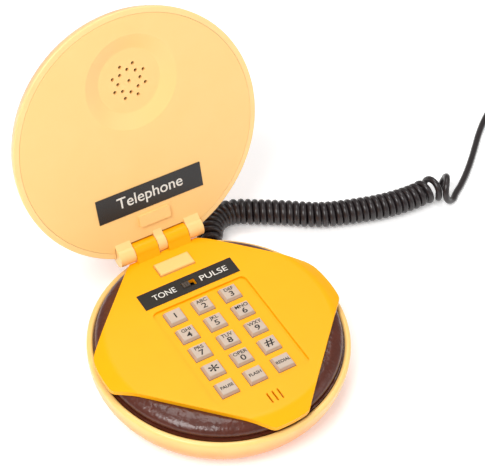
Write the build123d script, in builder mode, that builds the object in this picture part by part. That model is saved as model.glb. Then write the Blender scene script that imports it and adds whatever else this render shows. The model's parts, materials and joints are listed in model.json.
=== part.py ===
from build123d import *
import os
from math import asin, atan2, cos, degrees, pi, radians, sin

# A novelty telephone shaped like a hamburger, lid open.
# Frame: origin at the middle of the foot plane, +Z up, +Y towards the hinge, millimetres.

# ---------------------------------------------------------------- overall sizes
bun_radius = 65.0
bun_depth = 22.0
foot_height = 2.0
dome_height = 41.5
dome_side_radius = 14.3
lid_overhang = 0.73
open_angle = 108.6

# ---------------------------------------------------------------- walls, gaps and fits
bun_wall = 2.4
lid_wall = 2.2
lip_width = 3.25
seat_gap = 0.15
moving_gap = 0.3
pin_gap = 0.05
screw_gap = 0.02

# ---------------------------------------------------------------- bottom bun
bun_floor_radius = 51.0
lip_fall = 2.5
flange_seat_depth = 3.0
shoulder_width = 2.0
shoulder_height = 1.6
shoulder_angle = -20.0
foot_radius = 4.5
foot_circle_radius = 37.0
foot_recess = 1.0
foot_edge_round = 0.6
base_screw_circle = 50.0
base_screw_angles = (20.0, 160.0, 235.0, 305.0)
base_boss_radius = 3.8
base_boss_rise = 18.0
base_screw_radius = 1.3
base_head_radius = 2.6
base_head_height = 1.8
base_head_seat = 10.0
base_screw_grip = 6.0
screw_slot_width = 0.6
blind_end_gap = 0.4

# ---------------------------------------------------------------- patty
patty_rise = 6.3
patty_wall = 2.0
patty_bulge_width = 7.5
patty_bulge_height = 4.3
patty_ledge_width = 1.0
patty_tuck_angle = -25.0

# ---------------------------------------------------------------- cheese plate
cheese_thickness = 2.5
cheese_side_inset = 13.1
cheese_front_inset = 11.7
cheese_centre = (1.0, 1.8)
cheese_corner_margin = 1.3
cheese_side_fillet = 12.0
cheese_corner_fillet = 6.0
fold_inset = 4.75
fold_drop = 3.0
fold_blend = 8.0
recess_depth = 1.2
recess_half_width = 26.4
recess_x = 0.7
recess_back_gap = 3.1
recess_corner = 3.0
recess_front_margin = 6.6
cheese_boss_x = 37.0
cheese_boss_y = 24.0
cheese_boss_radius = 2.5
cheese_screw_radius = 0.95
cheese_screw_head_radius = 3.4
cheese_screw_head_height = 1.2
cheese_screw_length = 3.0

# ---------------------------------------------------------------- hinge
hinge_inset = 4.3
hinge_rise = 2.08
barrel_radius = 4.8
hinge_half_width = 23.85
lid_end_knuckle = 8.6
lid_mid_knuckle = 5.2
knuckle_gap = 0.15
pin_radius = 1.5
pin_end_wall = 1.3
hinge_pocket_radius = 5.6
ramp_start = 6.6
ramp_top_back = 3.9
ramp_top_rise = 2.6
lug_web_reach = 7.4
lug_web_drop = 1.9

# ---------------------------------------------------------------- keys
key_pitch_x = 15.6
key_pitch_y = 12.35
key_x = -0.4
key_width = 9.3
key_length = 8.5
key_taper_inset = 0.65
key_top_round = 0.45
key_protrusion = 0.9
key_travel = 1.2
key_flange_margin = 0.9
key_flange_thickness = 1.0
key_post_radius = 2.2
key_columns = 3
key_names = (
    "key_1", "key_2", "key_3",
    "key_4", "key_5", "key_6",
    "key_7", "key_8", "key_9",
    "key_star", "key_0", "key_hash",
    "key_pause", "key_flash", "key_redial",
)

# ---------------------------------------------------------------- layout, counted forward from the hinge
hinge_to_hook = 15.7
hook_to_strip = 14.55
strip_to_first_key = 14.95
last_key_to_mic = 15.3
mic_x = 1.3

# ---------------------------------------------------------------- hook button and tone switch
hook_width = 19.4
hook_length = 7.9
hook_round = 0.8
hook_protrusion = 1.5
hook_travel = 1.2
hook_pad_width = 17.4
hook_pad_length = 6.3
hook_pad_height = 1.6
hook_pad_corner = 0.8
hook_flange_margin = 1.3
hook_switch_width = 12.0
hook_switch_length = 6.0
hook_switch_height = 1.0
hook_plunger_rise = 1.4
tone_switch_width = 12.0
tone_switch_length = 5.0
slider_groove_width = 0.5
slider_groove_depth = 0.35
strip_width = 53.6
strip_length = 10.2
strip_thickness = 0.3
window_width = 7.5
window_length = 3.8
slider_width = 3.8
slider_proud = 0.3
slider_travel = 3.1

# ---------------------------------------------------------------- microphone
mic_slot_pitch = 2.9
mic_slot_width = 0.9
mic_slot_length = 6.2
mic_slot_count = 3
mic_radius = 4.8
mic_height = 4.4
boot_wall = 1.2

# ---------------------------------------------------------------- circuit board
board_half_width = 31.0
board_corner = 9.0
board_thickness = 1.6
board_front_margin = 6.0
board_back_margin = 5.0
board_boss_x = 27.6
board_boss_inset = 14.0
board_boss_radius = 2.4
board_screw_radius = 0.95
board_screw_head_radius = 2.0
board_screw_head_height = 1.3
board_drop = 3.7
membrane_half_width = 23.0
membrane_sheet = 0.8
membrane_dome_height = 0.5
membrane_dome_radius = 3.2

# ---------------------------------------------------------------- lid
lid_clearance_over_keys = 1.5
cover_thickness = 1.8
cover_rim_width = 3.1
rim_round = 0.6
rim_ledge = 1.7
rim_ledge_height = 1.8
cavity_start = 6.5
speaker_x = 1.3
speaker_offset = 28.9
dish_outer_radius = 24.4
dish_inner_radius = 16.5
dish_depth = 2.8
dish_blend = 2.0
speaker_hole_radius = 0.9
speaker_ring_outer = 9.0
speaker_ring_inner = 6.0
speaker_ring_count = 8
lid_label_width = 58.8
lid_label_length = 13.5
lid_label_thickness = 0.4
hinge_to_lid_label = 28.5
receiver_radius = 15.0
receiver_height = 8.0
receiver_edge_round = 1.0
strap_length = 50.0
strap_width = 8.0
strap_thickness = 1.5
strap_boss_reach = 21.5
strap_boss_radius = 2.6
strap_screw_radius = 1.0
strap_screw_head_radius = 2.2
strap_screw_head_height = 1.2
strap_screw_length = 5.0

# ---------------------------------------------------------------- inside the base
ballast_width = 70.0
ballast_length = 42.0
ballast_thickness = 5.0
ballast_y = -10.0
ballast_corner = 3.0
ringer_radius = 14.0
ringer_height = 7.0
ringer_y = 28.0
ringer_edge_round = 1.0

# ---------------------------------------------------------------- cord
wire_radius = 1.8
curl_radius = 7.2
cord_exit_angle = 63.0
cord_exit_height = 9.0
relief_bush_radius = 3.6
relief_flange_radius = 4.6
relief_flange_thickness = 1.5
relief_flange_setback = 13.45
relief_nose_start = 3.0
relief_tip_radius = 2.6
relief_nose_length = 5.25
corner_share = 0.45
coil_centre = (284.0, 69.0)
coil_mean_radius = 20.0
coil_layers = 2
coil_lift = 0.7
tie_width = 5.0
tie_thickness = 0.6
plug_length = 22.0
plug_width = 9.6
plug_height = 6.6
plug_edge_round = 0.5
latch_rise = 3.6
latch_thickness = 0.8
contact_pitch = 1.27
contact_slot_length = 6.2
contact_slot_width = 0.6
contact_slot_depth = 1.4
contact_length = 5.0
contact_width = 0.4

# ---------------------------------------------------------------- levels and places that follow
lip_z = foot_height + bun_depth
patty_top = lip_z + patty_rise
deck_bottom = patty_top - patty_wall
cheese_bottom = patty_top
cheese_top = cheese_bottom + cheese_thickness
recess_floor = cheese_top - recess_depth
key_top = cheese_top + key_protrusion
hinge_y = bun_radius - hinge_inset
hinge_z = cheese_top + hinge_rise
lid_face_z = key_top + lid_clearance_over_keys
hook_y = hinge_y - hinge_to_hook
strip_y = hook_y - hook_to_strip
first_key_y = strip_y - strip_to_first_key
key_rows = len(key_names) // key_columns
last_key_y = first_key_y - (key_rows - 1) * key_pitch_y
keypad_y = (first_key_y + last_key_y) / 2
mic_y = last_key_y - last_key_to_mic
floor_z = foot_height + bun_wall
side_centre_z = lip_z - lip_fall
side_width = bun_radius - bun_floor_radius
side_height = side_centre_z - foot_height
lip_inner_radius = bun_radius - lip_width
flange_seat_z = lip_z - flange_seat_depth
patty_outer_radius = lip_inner_radius - seat_gap
patty_bulge_radius = lip_inner_radius - patty_ledge_width - patty_bulge_width
patty_bulge_z = patty_top - patty_bulge_height
base_boss_top = floor_z + base_boss_rise
base_screw_seat = foot_height + base_head_seat
base_screw_tip = base_boss_top + base_screw_grip
flange_top = cheese_bottom - 2 * seat_gap
flange_bottom = flange_top - key_flange_thickness
board_top = deck_bottom - board_drop
board_bottom = board_top - board_thickness
membrane_top = board_top + membrane_sheet
dome_top = membrane_top + membrane_dome_height
key_post_bottom = dome_top + moving_gap + key_travel
board_front_y = last_key_y - board_front_margin
board_back_y = hook_y + board_back_margin
knuckle_inner = lid_mid_knuckle / 2
knuckle_outer = hinge_half_width - lid_end_knuckle

# ---------------------------------------------------------------- planes of the open lid
closed_rise = hinge_z - lid_face_z
turn = radians(open_angle)
lid_centre = (
    0,
    hinge_y - hinge_y * cos(turn) - closed_rise * sin(turn),
    hinge_z + hinge_y * sin(turn) - closed_rise * cos(turn),
)
lid_plane = Plane(origin=lid_centre, x_dir=(1, 0, 0), z_dir=(0, sin(turn), cos(turn)))
lid_section = Plane(origin=lid_centre, x_dir=(1, 0, 0), z_dir=-lid_plane.y_dir)
lid_side = Plane(origin=lid_centre, x_dir=lid_plane.y_dir, z_dir=(1, 0, 0))
lid_axis = Axis(lid_centre, lid_plane.z_dir)
speaker_centre = lid_plane.from_local_coords((speaker_x, -speaker_offset, 0))
speaker_plane = Plane(origin=speaker_centre, x_dir=(1, 0, 0), z_dir=lid_plane.z_dir)
speaker_section = Plane(origin=speaker_centre, x_dir=(1, 0, 0), z_dir=-lid_plane.y_dir)
speaker_axis = Axis(speaker_centre, lid_plane.z_dir)
lid_rim_radius = bun_radius + lid_overhang
cover_radius = lid_rim_radius - cover_rim_width
dome_side_centre = lid_rim_radius - dome_side_radius
dome_spread = dome_side_centre**2 + dome_height**2 - dome_side_radius**2
dome_radius = dome_spread / (2 * (dome_height - dome_side_radius))
dome_centre_w = dome_height - dome_radius
dome_join_angle = degrees(atan2(-dome_centre_w, dome_side_centre))

os.makedirs("parts", exist_ok=True)


def polar_points(circle_radius, angles):
    """Points on a circle about the origin, one for each angle in degrees."""
    return [(circle_radius * cos(radians(a)), circle_radius * sin(radians(a))) for a in angles]


base_screw_points = polar_points(base_screw_circle, base_screw_angles)
foot_points = polar_points(foot_circle_radius, (45.0, 135.0, 225.0, 315.0))
key_points = [
    (key_x + (column - 1) * key_pitch_x, first_key_y - row * key_pitch_y)
    for row in range(key_rows)
    for column in range(key_columns)
]
cheese_boss_points = [
    (x, y)
    for x in (-cheese_boss_x, cheese_boss_x)
    for y in (-cheese_boss_y, cheese_boss_y)
]
board_boss_points = [
    (x, y)
    for x in (-board_boss_x, board_boss_x)
    for y in (board_front_y + board_boss_inset, board_back_y - board_boss_inset)
]
exit_direction = (cos(radians(cord_exit_angle)), sin(radians(cord_exit_angle)), 0)
exit_plane = Plane(origin=(0, 0, cord_exit_height), x_dir=(0, 0, 1), z_dir=exit_direction)

# ================================================================ bottom bun
# The lower shell: a flat floor, a swelling side and a rounded lip. The patty's flange sits on a
# shoulder inside the lip.
shoulder_radius = lip_inner_radius - shoulder_width
with BuildPart() as bottom_bun:
    with BuildSketch(Plane.XZ) as bun_outer:
        with BuildLine():
            floor_line = Line((0, foot_height), (bun_floor_radius, foot_height))
            side = EllipticalCenterArc(
                (bun_floor_radius, side_centre_z), side_width, side_height, start_angle=-90, arc_size=90
            )
            Polyline((bun_radius, side_centre_z), (bun_radius, lip_z), (0, lip_z), (0, foot_height))
        make_face()
        fillet(bun_outer.vertices().group_by(Axis.Y)[-1].sort_by(Axis.X)[-1], lip_width * 0.48)
    revolve(axis=Axis.Z)
    with BuildSketch(Plane.XZ):
        with BuildLine():
            inner_side = EllipticalCenterArc(
                (bun_floor_radius, side_centre_z),
                side_width - bun_wall,
                side_height - bun_wall,
                start_angle=-90,
                arc_size=90 + shoulder_angle,
            )
            Polyline(
                inner_side @ 1,
                (shoulder_radius, flange_seat_z - shoulder_height),
                (shoulder_radius, flange_seat_z),
                (lip_inner_radius, flange_seat_z),
                (lip_inner_radius, lip_z + 1),
                (0, lip_z + 1),
                (0, floor_z),
                inner_side @ 0,
            )
        make_face()
    revolve(axis=Axis.Z, mode=Mode.SUBTRACT)
    lip_edges = bottom_bun.edges().filter_by(GeomType.CIRCLE).filter_by(
        lambda e: abs(e.radius - lip_inner_radius) < 0.01
    )
    fillet(lip_edges.sort_by(Axis.Z)[-1], lip_width * 0.42)
    with BuildSketch(Plane.XY.offset(floor_z)):
        with Locations(*base_screw_points):
            Circle(base_boss_radius)
    extrude(amount=base_boss_rise)
    with BuildSketch(Plane.XY.offset(foot_height)):
        with Locations(*base_screw_points):
            Circle(base_head_radius + moving_gap)
    extrude(amount=base_head_seat, mode=Mode.SUBTRACT)
    with BuildSketch(Plane.XY.offset(foot_height)):
        with Locations(*base_screw_points):
            Circle(base_screw_radius + seat_gap)
    extrude(amount=base_boss_rise + bun_wall, mode=Mode.SUBTRACT)
    with BuildSketch(Plane.XY.offset(foot_height)):
        with Locations(*foot_points):
            Circle(foot_radius + seat_gap)
    extrude(amount=foot_recess, mode=Mode.SUBTRACT)
    with BuildSketch(exit_plane):
        Circle(relief_bush_radius + seat_gap)
    extrude(amount=bun_radius + 1, mode=Mode.SUBTRACT)
bottom_bun.part.label = "bottom_bun"
export_step(bottom_bun.part, "parts/bottom_bun.step")

# ================================================================ rubber feet
with BuildPart() as rubber_feet:
    with BuildSketch(Plane.XY):
        with Locations(*foot_points):
            Circle(foot_radius)
    extrude(amount=foot_height + foot_recess)
    fillet(rubber_feet.edges().group_by(Axis.Z)[0], foot_edge_round)
rubber_feet.part.label = "rubber_feet"
export_step(rubber_feet.part, "parts/rubber_feet.step")

# ================================================================ base screws
with BuildPart() as base_screws:
    with BuildSketch(Plane.XY.offset(base_screw_seat - base_head_height)):
        with Locations(*base_screw_points):
            Circle(base_head_radius)
    extrude(amount=base_head_height)
    with BuildSketch(Plane.XY.offset(base_screw_seat)):
        with Locations(*base_screw_points):
            Circle(base_screw_radius)
    extrude(amount=base_screw_tip - base_screw_seat)
    with BuildSketch(Plane.XY.offset(base_screw_seat - base_head_height)):
        with Locations(*base_screw_points):
            Rectangle(base_head_radius * 1.2, screw_slot_width)
            Rectangle(screw_slot_width, base_head_radius * 1.2)
    extrude(amount=base_head_height * 0.6, mode=Mode.SUBTRACT)
base_screws.part.label = "base_screws"
export_step(base_screws.part, "parts/base_screws.step")

# ================================================================ patty
# A domed ring with a flange that drops into the bun's lip. Its flat deck carries the cheese plate,
# and a window in the deck lets the keys and switches through.
window_front = last_key_y - key_length / 2 - key_flange_margin - 1.0
window_back = hook_y + hook_length / 2 + hook_flange_margin + 0.8
window_half = key_pitch_x + key_width / 2 + key_flange_margin + 1.2
with BuildPart() as patty:
    with BuildSketch(Plane.XZ):
        with BuildLine():
            bulge = EllipticalCenterArc(
                (patty_bulge_radius, patty_bulge_z),
                patty_bulge_width,
                patty_bulge_height,
                start_angle=patty_tuck_angle,
                arc_size=90 - patty_tuck_angle,
            )
            Polyline(
                bulge @ 1,
                (0, patty_top),
                (0, flange_seat_z),
                (patty_outer_radius, flange_seat_z),
                (patty_outer_radius, (bulge @ 0).Y),
                bulge @ 0,
            )
        make_face()
    revolve(axis=Axis.Z)
    with BuildSketch(Plane.XZ):
        with BuildLine():
            inner_bulge = EllipticalCenterArc(
                (patty_bulge_radius, patty_bulge_z),
                patty_bulge_width - patty_wall,
                patty_bulge_height - patty_wall,
                start_angle=0,
                arc_size=90,
            )
            Polyline(
                inner_bulge @ 1,
                (0, deck_bottom),
                (0, flange_seat_z - 1),
                ((inner_bulge @ 0).X, flange_seat_z - 1),
                inner_bulge @ 0,
            )
        make_face()
    revolve(axis=Axis.Z, mode=Mode.SUBTRACT)
    with BuildSketch(Plane.XY.offset(base_boss_top)):
        with Locations(*base_screw_points):
            Circle(base_boss_radius)
    extrude(amount=deck_bottom - base_boss_top + patty_wall / 2)
    with BuildSketch(Plane.XY.offset(board_top)):
        with Locations(*board_boss_points):
            Circle(board_boss_radius)
    extrude(amount=deck_bottom - board_top + patty_wall / 2)
    with BuildSketch(Plane.XY.offset(deck_bottom - 1)):
        with Locations((0, (window_front + window_back) / 2)):
            RectangleRounded(2 * window_half, window_back - window_front, recess_corner)
    extrude(amount=patty_wall + 2, mode=Mode.SUBTRACT)
    with BuildSketch(Plane.XY.offset(deck_bottom - patty_wall)):
        with Locations((mic_x, mic_y)):
            Circle(mic_radius + boot_wall + seat_gap)
    extrude(amount=3 * patty_wall, mode=Mode.SUBTRACT)
    with BuildSketch(Plane.XY.offset(deck_bottom - 1)):
        with Locations(*cheese_boss_points):
            Circle(cheese_boss_radius + seat_gap)
    extrude(amount=patty_wall + 2, mode=Mode.SUBTRACT)
    with BuildSketch(Plane.XY.offset(base_boss_top)):
        with Locations(*base_screw_points):
            Circle(base_screw_radius + screw_gap)
    extrude(amount=base_screw_grip + blind_end_gap, mode=Mode.SUBTRACT)
    with BuildSketch(Plane.XY.offset(board_top)):
        with Locations(*board_boss_points):
            Circle(board_screw_radius + screw_gap)
    extrude(amount=deck_bottom - board_top, mode=Mode.SUBTRACT)
patty.part.label = "patty"
export_step(patty.part, "parts/patty.step")

# ================================================================ cheese plate
# A square slice set corner forward. Past the fold its corners slope down over the patty. It carries
# the recessed keypad, the hook button, the tone switch and the base's two hinge knuckles.
corner_radius = bun_radius - cheese_corner_margin
cheese_half_width = bun_radius - cheese_side_inset
cheese_half_length = bun_radius - cheese_front_inset
fold_radius = lip_inner_radius - fold_inset
cheese_back_y = hinge_y - barrel_radius + 1.6
fold_end = corner_radius + 2.0
fold_slope = fold_drop / (corner_radius - fold_radius)
lug_outline = (
    (hinge_y - ramp_start, cheese_bottom),
    (hinge_y - ramp_start, cheese_top),
    (hinge_y - ramp_top_back, hinge_z + ramp_top_rise),
    (hinge_y, hinge_z),
    (hinge_y, cheese_bottom),
)
with BuildPart() as cheese_plate:
    with BuildSketch(Plane.XY.offset(cheese_bottom - 2 * fold_drop)) as slice_outline:
        with Locations(cheese_centre):
            Rectangle(2 * cheese_half_width, 2 * cheese_half_length, rotation=45)
        Circle(corner_radius, mode=Mode.INTERSECT)
        with Locations((0, cheese_back_y - 2 * bun_radius)):
            Rectangle(4 * bun_radius, 4 * bun_radius, mode=Mode.INTERSECT)
        side_corners = slice_outline.vertices().filter_by(lambda v: 0 < v.Y < hinge_y / 2)
        fillet(side_corners, cheese_side_fillet)
        front_corners = slice_outline.vertices().filter_by(
            lambda v: v.Y < 0 and abs(v.X**2 + v.Y**2 - corner_radius**2) < 1
        )
        fillet(front_corners, cheese_corner_fillet)
    extrude(amount=cheese_thickness + 2 * fold_drop)
    with BuildSketch(Plane.XZ) as fold_profile:
        with BuildLine():
            Polyline(
                (0, cheese_bottom),
                (fold_radius, cheese_bottom),
                (fold_end, cheese_bottom - fold_slope * (fold_end - fold_radius)),
                (fold_end, cheese_top - fold_slope * (fold_end - fold_radius)),
                (fold_radius, cheese_top),
                (0, cheese_top),
                close=True,
            )
        make_face()
        fold_corners = fold_profile.vertices().filter_by(lambda v: abs(v.X - fold_radius) < 0.01)
        fillet(fold_corners, fold_blend)
    revolve(axis=Axis.Z, mode=Mode.INTERSECT)
    with BuildSketch(Plane.YZ.offset(knuckle_inner + knuckle_gap)):
        with Locations((hinge_y, hinge_z)):
            Circle(barrel_radius)
        with BuildLine():
            Polyline(*lug_outline, close=True)
        make_face()
    extrude(amount=knuckle_outer - knuckle_inner - 2 * knuckle_gap)
    with BuildSketch(Plane.YZ.offset(-knuckle_outer + knuckle_gap)):
        with Locations((hinge_y, hinge_z)):
            Circle(barrel_radius)
        with BuildLine():
            Polyline(*lug_outline, close=True)
        make_face()
    extrude(amount=knuckle_outer - knuckle_inner - 2 * knuckle_gap)
    with BuildSketch(Plane.YZ.offset(knuckle_outer - knuckle_gap)):
        with Locations((hinge_y, hinge_z)):
            Circle(barrel_radius + moving_gap)
    extrude(amount=lid_end_knuckle + 4, mode=Mode.SUBTRACT)
    with BuildSketch(Plane.YZ.offset(-knuckle_outer + knuckle_gap)):
        with Locations((hinge_y, hinge_z)):
            Circle(barrel_radius + moving_gap)
    extrude(amount=-lid_end_knuckle - 4, mode=Mode.SUBTRACT)
    with BuildSketch(Plane.YZ.offset(-knuckle_inner - knuckle_gap)):
        with Locations((hinge_y, hinge_z)):
            Circle(barrel_radius + moving_gap)
    extrude(amount=2 * (knuckle_inner + knuckle_gap), mode=Mode.SUBTRACT)
    with BuildSketch(Plane.YZ.offset(-hinge_half_width)):
        with Locations((hinge_y, hinge_z)):
            Circle(pin_radius + pin_gap)
    extrude(amount=2 * hinge_half_width, mode=Mode.SUBTRACT)
    recess_back = strip_y - strip_length / 2 - recess_back_gap
    recess_front = last_key_y - recess_front_margin
    with BuildSketch(Plane.XY.offset(recess_floor)):
        with Locations((recess_x, (recess_back + recess_front) / 2)):
            RectangleRounded(2 * recess_half_width, recess_back - recess_front, recess_corner)
    extrude(amount=2 * recess_depth, mode=Mode.SUBTRACT)
    with BuildSketch(Plane.XY.offset(cheese_bottom)):
        with Locations(*key_points):
            Rectangle(key_width + 2 * moving_gap, key_length + 2 * moving_gap)
    extrude(amount=cheese_thickness, mode=Mode.SUBTRACT)
    with BuildSketch(Plane.XY.offset(cheese_bottom)):
        with Locations((0, hook_y)):
            Rectangle(hook_width + 2 * moving_gap, hook_length + 2 * moving_gap)
    extrude(amount=cheese_thickness, mode=Mode.SUBTRACT)
    with BuildSketch(Plane.XY.offset(cheese_bottom)):
        with Locations((0, strip_y)):
            Rectangle(window_width, window_length)
    extrude(amount=cheese_thickness, mode=Mode.SUBTRACT)
    with BuildSketch(Plane.XY.offset(cheese_bottom - 1)):
        with Locations((mic_x, mic_y)):
            with GridLocations(mic_slot_pitch, 1, mic_slot_count, 1):
                SlotOverall(mic_slot_length, mic_slot_width, rotation=90)
    extrude(amount=cheese_thickness + 2, mode=Mode.SUBTRACT)
    with BuildSketch(Plane.XY.offset(deck_bottom + moving_gap)):
        with Locations(*cheese_boss_points):
            Circle(cheese_boss_radius)
    extrude(amount=cheese_bottom - deck_bottom)
    with BuildSketch(Plane.XY.offset(deck_bottom)):
        with Locations(*cheese_boss_points):
            Circle(cheese_screw_radius + screw_gap)
    extrude(amount=cheese_screw_length + blind_end_gap, mode=Mode.SUBTRACT)
cheese_plate.part.label = "cheese_plate"
export_step(cheese_plate.part, "parts/cheese_plate.step")

# ================================================================ cheese screws
with BuildPart() as cheese_screws:
    with BuildSketch(Plane.XY.offset(deck_bottom - cheese_screw_head_height)):
        with Locations(*cheese_boss_points):
            Circle(cheese_screw_head_radius)
    extrude(amount=cheese_screw_head_height)
    with BuildSketch(Plane.XY.offset(deck_bottom)):
        with Locations(*cheese_boss_points):
            Circle(cheese_screw_radius)
    extrude(amount=cheese_screw_length)
cheese_screws.part.label = "cheese_screws"
export_step(cheese_screws.part, "parts/cheese_screws.step")

# ================================================================ strip label
with BuildPart() as strip_label:
    with BuildSketch(Plane.XY.offset(cheese_top)):
        with Locations((0, strip_y)):
            Rectangle(strip_width, strip_length)
            Rectangle(window_width, window_length, mode=Mode.SUBTRACT)
    extrude(amount=strip_thickness)
strip_label.part.label = "strip_label"
export_step(strip_label.part, "parts/strip_label.step")

# ================================================================ circuit board
with BuildPart() as main_board:
    with BuildSketch(Plane.XY.offset(board_bottom)) as board_outline:
        with Locations((0, (board_front_y + board_back_y) / 2)):
            Rectangle(2 * board_half_width, board_back_y - board_front_y)
        chamfer(board_outline.vertices(), board_corner)
        with Locations(*board_boss_points):
            Circle(board_screw_radius + seat_gap, mode=Mode.SUBTRACT)
    extrude(amount=board_thickness)
main_board.part.label = "main_board"
export_step(main_board.part, "parts/main_board.step")

# ================================================================ board screws
with BuildPart() as board_screws:
    with BuildSketch(Plane.XY.offset(board_bottom - board_screw_head_height)):
        with Locations(*board_boss_points):
            Circle(board_screw_head_radius)
    extrude(amount=board_screw_head_height)
    with BuildSketch(Plane.XY.offset(board_bottom)):
        with Locations(*board_boss_points):
            Circle(board_screw_radius)
    extrude(amount=board_thickness + deck_bottom - board_top - blind_end_gap)
board_screws.part.label = "board_screws"
export_step(board_screws.part, "parts/board_screws.step")

# ================================================================ board components
# The dialling chip, its crystal can and two capacitors, on the board's lower face.
component_boxes = (
    (0.0, -4.0, 14.0, 7.0, 3.2),
    (-14.0, 8.0, 9.0, 4.0, 3.6),
    (13.0, 9.0, 6.4, 6.4, 8.0),
    (13.0, -14.0, 6.4, 6.4, 8.0),
)
with BuildPart() as board_components:
    for x, y, width, length, height in component_boxes:
        with BuildSketch(Plane.XY.offset(board_bottom - height)):
            with Locations((x, keypad_y + y)):
                Rectangle(width, length)
        extrude(amount=height)
board_components.part.label = "board_components"
export_step(board_components.part, "parts/board_components.step")

# ================================================================ keypad membrane
# Rubber sheet with a dome under each key. The domes are drawn at their pressed height.
membrane_back = first_key_y + key_length / 2 + 1.5
membrane_front = last_key_y - key_length / 2 - 1.0
with BuildPart() as keypad_membrane:
    with BuildSketch(Plane.XY.offset(board_top)):
        with Locations((0, (membrane_front + membrane_back) / 2)):
            RectangleRounded(2 * membrane_half_width, membrane_back - membrane_front, 2.0)
    extrude(amount=membrane_sheet)
    with BuildSketch(Plane.XY.offset(membrane_top)):
        with Locations(*key_points):
            Circle(membrane_dome_radius)
    extrude(amount=membrane_dome_height, taper=30)
keypad_membrane.part.label = "keypad_membrane"
export_step(keypad_membrane.part, "parts/keypad_membrane.step")

# ================================================================ keys
# Each key is a cap with sloping sides, a retaining flange under the cheese plate and a post.
for key_name, key_point in zip(key_names, key_points):
    with BuildPart() as key:
        with BuildSketch(Plane.XY.offset(flange_bottom)):
            with Locations(key_point):
                Rectangle(key_width + 2 * key_flange_margin, key_length + 2 * key_flange_margin)
        extrude(amount=key_flange_thickness)
        with BuildSketch(Plane.XY.offset(flange_top)):
            with Locations(key_point):
                Rectangle(key_width, key_length)
        extrude(amount=recess_floor - flange_top + moving_gap)
        with BuildSketch(Plane.XY.offset(recess_floor + moving_gap)):
            with Locations(key_point):
                Rectangle(key_width, key_length)
        with BuildSketch(Plane.XY.offset(key_top)):
            with Locations(key_point):
                Rectangle(key_width - 2 * key_taper_inset, key_length - 2 * key_taper_inset)
        loft()
        fillet(key.faces().sort_by(Axis.Z)[-1].edges(), key_top_round)
        with BuildSketch(Plane.XY.offset(key_post_bottom)):
            with Locations(key_point):
                Circle(key_post_radius)
        extrude(amount=flange_bottom - key_post_bottom)
    key.part.label = key_name
    export_step(key.part, f"parts/{key_name}.step")

# ================================================================ hook button
hook_top = cheese_top + hook_protrusion
hook_switch_top = board_top + hook_plunger_rise
with BuildPart() as hook_button:
    with BuildSketch(Plane.XY.offset(flange_bottom)):
        with Locations((0, hook_y)):
            Rectangle(hook_width + 2 * hook_flange_margin, hook_length + 2 * hook_flange_margin)
    extrude(amount=key_flange_thickness)
    with BuildSketch(Plane.XY.offset(flange_top)):
        with Locations((0, hook_y)):
            Rectangle(hook_width, hook_length)
    extrude(amount=hook_top - flange_top)
    fillet(hook_button.faces().sort_by(Axis.Z)[-1].edges(), hook_round)
    with BuildSketch(Plane.XY.offset(hook_switch_top + moving_gap + hook_travel)):
        with Locations((0, hook_y)):
            Circle(key_post_radius / 2)
    extrude(amount=flange_bottom - hook_switch_top - moving_gap - hook_travel)
hook_button.part.label = "hook_button"
export_step(hook_button.part, "parts/hook_button.step")

# ================================================================ hook switch
with BuildPart() as hook_switch:
    with BuildSketch(Plane.XY.offset(board_top)):
        with Locations((0, hook_y)):
            Rectangle(hook_switch_width, hook_switch_length)
    extrude(amount=hook_switch_height)
    with BuildSketch(Plane.XY.offset(board_top + hook_switch_height)):
        with Locations((0, hook_y)):
            Circle(key_post_radius)
    extrude(amount=hook_switch_top - board_top - hook_switch_height)
hook_switch.part.label = "hook_switch"
export_step(hook_switch.part, "parts/hook_switch.step")

# ================================================================ tone or pulse switch
tone_switch_top = deck_bottom
slider_end_gap = (window_width - slider_width - slider_travel) / 2
slider_x = -window_width / 2 + slider_end_gap + slider_width / 2
with BuildPart() as tone_switch:
    with BuildSketch(Plane.XY.offset(board_top)):
        with Locations((0, strip_y)):
            Rectangle(tone_switch_width, tone_switch_length)
    extrude(amount=tone_switch_top - board_top)
tone_switch.part.label = "tone_switch"
export_step(tone_switch.part, "parts/tone_switch.step")

slider_top = cheese_top + strip_thickness + slider_proud
with BuildPart() as tone_slider:
    with BuildSketch(Plane.XY.offset(tone_switch_top + moving_gap)):
        with Locations((slider_x, strip_y)):
            Rectangle(slider_width, window_length - 2 * moving_gap)
    extrude(amount=slider_top - tone_switch_top - moving_gap)
    with BuildSketch(Plane.XY.offset(slider_top - slider_groove_depth)):
        with Locations((slider_x, strip_y)):
            with GridLocations(slider_width / 3, 1, 2, 1):
                Rectangle(slider_groove_width, window_length)
    extrude(amount=1, mode=Mode.SUBTRACT)
tone_slider.part.label = "tone_slider"
export_step(tone_slider.part, "parts/tone_slider.step")

# ================================================================ microphone and its rubber boot
boot_bottom = cheese_bottom - mic_height - boot_wall
with BuildPart() as microphone:
    with BuildSketch(Plane.XY.offset(cheese_bottom - mic_height)):
        with Locations((mic_x, mic_y)):
            Circle(mic_radius)
    extrude(amount=mic_height - fold_drop * 0.2)
microphone.part.label = "microphone"
export_step(microphone.part, "parts/microphone.step")

with BuildPart() as microphone_boot:
    with BuildSketch(Plane.XY.offset(boot_bottom)):
        with Locations((mic_x, mic_y)):
            Circle(mic_radius + boot_wall)
    extrude(amount=cheese_bottom - fold_drop * 0.2 - boot_bottom)
    with BuildSketch(Plane.XY.offset(cheese_bottom - mic_height)):
        with Locations((mic_x, mic_y)):
            Circle(mic_radius)
    extrude(amount=mic_height, mode=Mode.SUBTRACT)
microphone_boot.part.label = "microphone_boot"
export_step(microphone_boot.part, "parts/microphone_boot.step")

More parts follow.
